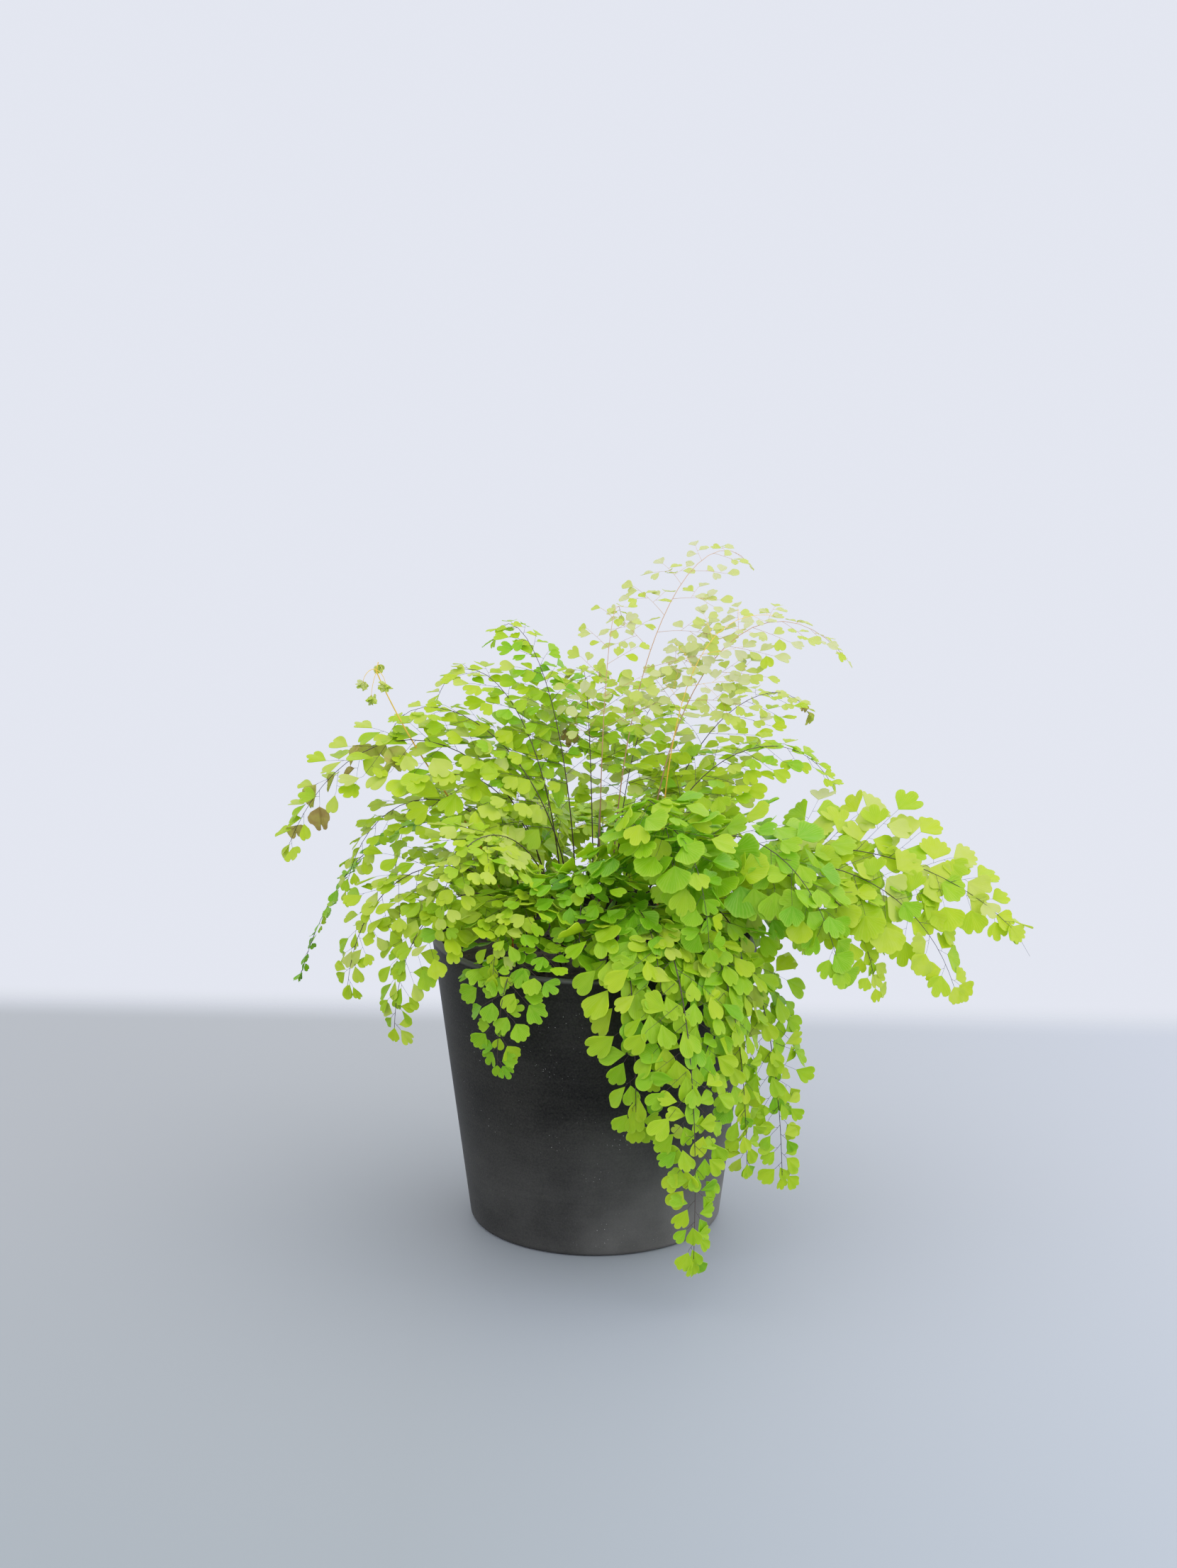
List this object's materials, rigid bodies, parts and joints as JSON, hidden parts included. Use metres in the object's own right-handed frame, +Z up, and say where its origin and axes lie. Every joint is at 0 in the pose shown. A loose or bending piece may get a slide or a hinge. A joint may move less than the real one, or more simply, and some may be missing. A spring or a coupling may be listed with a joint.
{
  "type": "potted maidenhair fern",
  "caption": "Maidenhair fern with thin wiry stems and fan-shaped leaflets, arching and trailing out of a tapered round planter filled with soil.",
  "frame": {"origin": "centre of the planter's flat underside", "axes": "+Z up along the planter's axis; -Y is the front, where the longest frond trails down over the rim"},
  "size_m": [0.4551, 0.3258, 0.4045],
  "materials": {
    "planter": "matt charcoal with a fine pale speckle",
    "soil": "dry crumbled potting soil",
    "foliage": "thin soft leaf with fine veins",
    "young_growth": "soft yellow-green young growth",
    "stipe": "smooth dark wiry stem",
    "dry_leaf": "dried curled leaf"
  },
  "bodies": {
    "root": {"planter": "planter", "soil": "soil", "frond_front_right_long": "foliage", "frond_front_right_hanging": "foliage", "frond_front_right_side": "foliage", "frond_front_trailing": "foliage", "frond_front_left_small": "foliage", "frond_front_rim": "foliage", "frond_front_right_upper": "foliage", "frond_right_far": "foliage", "frond_right_far_low": "foliage", "frond_right_low": "foliage", "frond_right_front": "foliage", "frond_right_mid": "foliage", "frond_right_back_mid": "foliage", "frond_top_right": "foliage", "frond_top_tall": "foliage", "frond_top_yellow": "foliage", "frond_top_pale": "foliage", "frond_top_left": "foliage", "frond_top_left_side": "foliage", "frond_left_far": "foliage", "frond_left_upper": "foliage", "frond_left_thin": "foliage", "frond_left_low": "foliage", "frond_left_front_low": "foliage", "frond_left_mid": "foliage", "frond_front_left_upper": "foliage", "frond_front_left_low": "foliage", "frond_crown_back": "foliage", "frond_crown_front": "foliage", "frond_crown_right": "foliage", "frond_back_right": "foliage", "frond_back": "foliage", "frond_back_left": "foliage", "frond_back_left_side": "foliage", "frond_crown_back_right": "foliage", "frond_rim_right": "foliage", "frond_rim_back_right": "foliage", "frond_rim_back_left": "foliage", "frond_young": "young_growth"}
  },
  "joints": []
}
